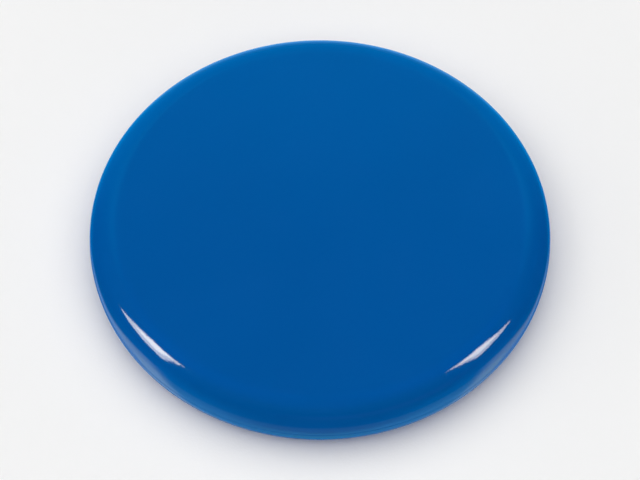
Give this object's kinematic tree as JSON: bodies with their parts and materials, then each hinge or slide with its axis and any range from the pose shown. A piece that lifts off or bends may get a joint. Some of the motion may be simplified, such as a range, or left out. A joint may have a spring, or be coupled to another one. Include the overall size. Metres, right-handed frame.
{
  "type": "holding magnet",
  "caption": "Round flat holding magnet with a glossy blue moulded cap over a ferrite ring and a steel keeper plate, for pinning paper to a steel board.",
  "frame": {"origin": "centre of the underside, in the plane of the cap's land ring, which is what touches the board", "axes": "+Z along the round's axis, out of the board and through the top of the cap; +X and +Y lie in the plane of the underside, with a centring rib on +X"},
  "size_m": [0.04, 0.04, 0.005],
  "materials": {
    "cap_plastic": "gloss",
    "adhesive": "satin",
    "zinc_steel": "satin",
    "ferrite": "matte"
  },
  "bodies": {
    "root": {"cap": "cap_plastic", "plate_glue": "adhesive", "keeper_plate": "zinc_steel", "ring_magnet": "ferrite", "rim_glue": "adhesive"}
  },
  "joints": []
}
